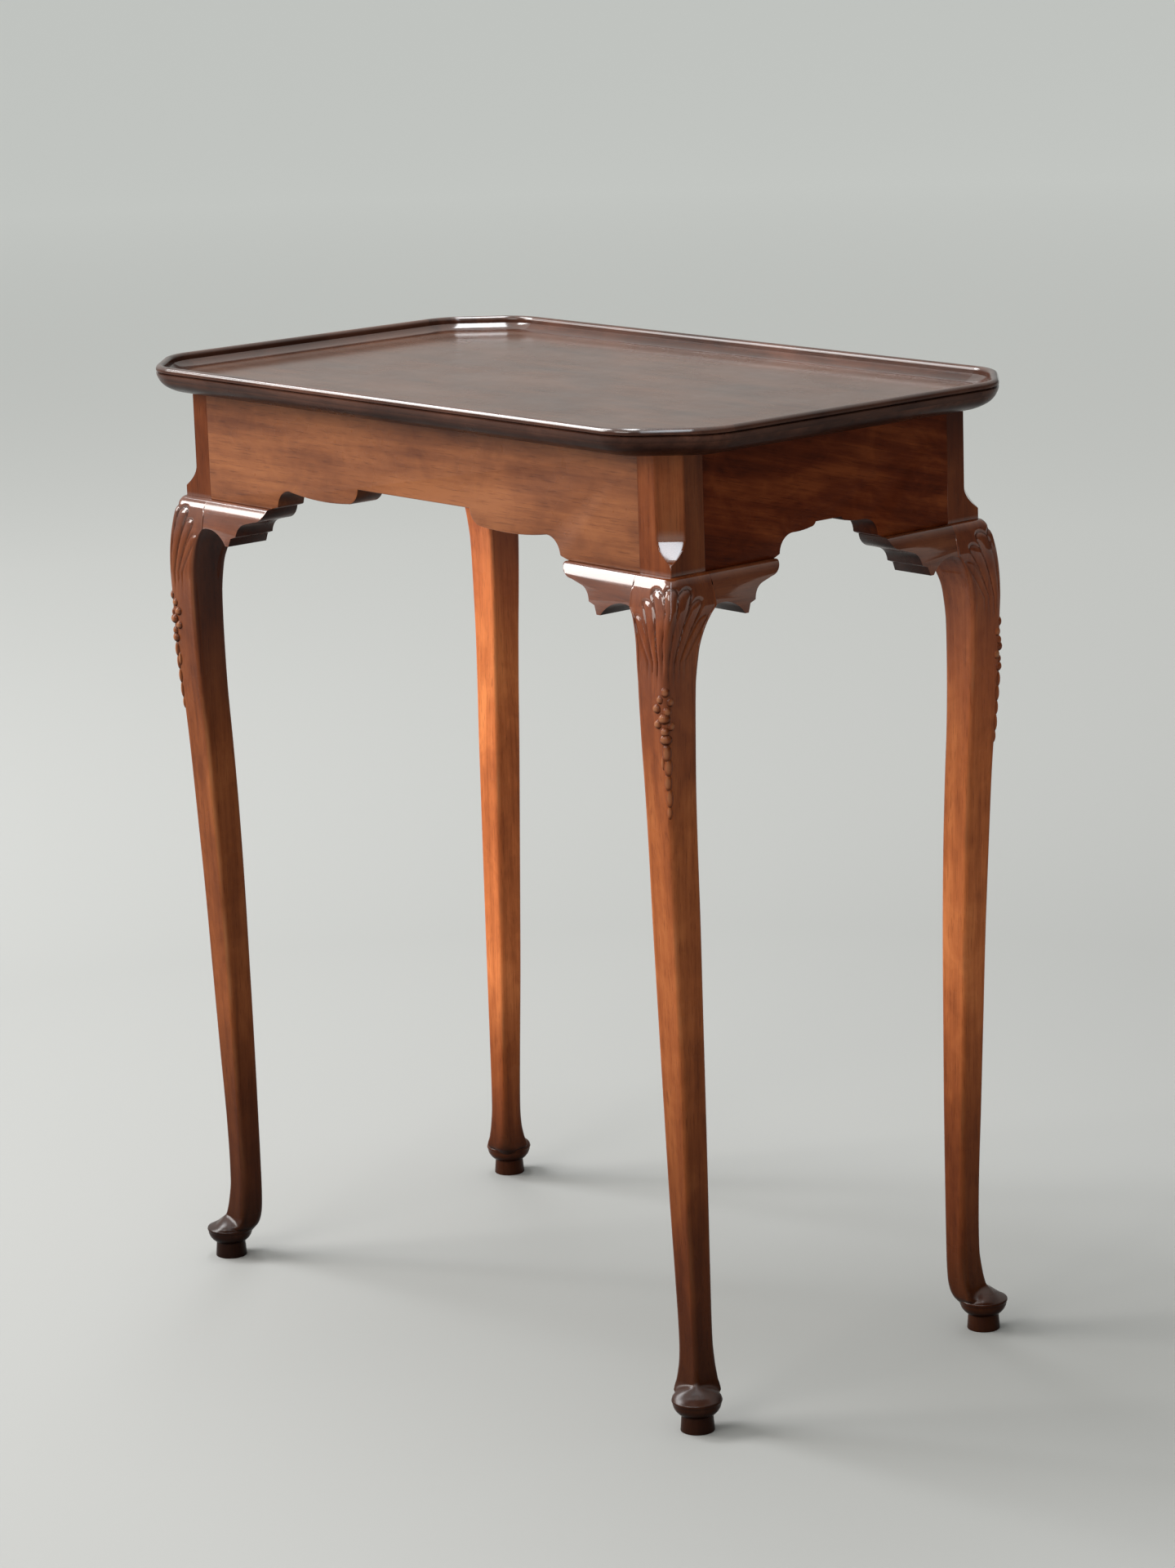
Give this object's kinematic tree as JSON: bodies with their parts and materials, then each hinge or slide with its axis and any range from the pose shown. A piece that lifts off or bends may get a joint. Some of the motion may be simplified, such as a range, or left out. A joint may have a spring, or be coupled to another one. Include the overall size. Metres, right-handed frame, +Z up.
{
  "type": "tray top tea table",
  "caption": "Small oblong tea table with a shallow moulded tray top, canted corners, scalloped apron and slim carved cabriole legs on pad feet, for serving tea or holding a lamp.",
  "frame": {"origin": "On the floor, under the middle of the tray.", "axes": "+Z is up, +X runs along the long side, and the front long side is at -Y."},
  "size_m": [0.572, 0.339, 0.66],
  "materials": {
    "mahogany_tray": "gloss",
    "mahogany_rim": "gloss",
    "mahogany_apron": "satin",
    "mahogany_leg": "satin",
    "block_wood": "matte",
    "screw_steel": "satin"
  },
  "bodies": {
    "root": {"bracket_back_left_long": "mahogany_leg", "bracket_back_left_short": "mahogany_leg", "bracket_back_right_long": "mahogany_leg", "bracket_back_right_short": "mahogany_leg", "bracket_front_left_long": "mahogany_leg", "bracket_front_left_short": "mahogany_leg", "bracket_front_right_long": "mahogany_leg", "bracket_front_right_short": "mahogany_leg", "corner_block_back_left": "block_wood", "corner_block_back_right": "block_wood", "corner_block_front_left": "block_wood", "corner_block_front_right": "block_wood", "leg_back_left": "mahogany_leg", "leg_back_right": "mahogany_leg", "leg_front_left": "mahogany_leg", "leg_front_right": "mahogany_leg", "rail_back": "mahogany_apron", "rail_front": "mahogany_apron", "rail_left": "mahogany_apron", "rail_right": "mahogany_apron", "rim_back": "mahogany_rim", "rim_corner_back_left": "mahogany_rim", "rim_corner_back_right": "mahogany_rim", "rim_corner_front_left": "mahogany_rim", "rim_corner_front_right": "mahogany_rim", "rim_front": "mahogany_rim", "rim_left": "mahogany_rim", "rim_right": "mahogany_rim", "top_screws": "screw_steel", "tray_board": "mahogany_tray"}
  },
  "joints": []
}
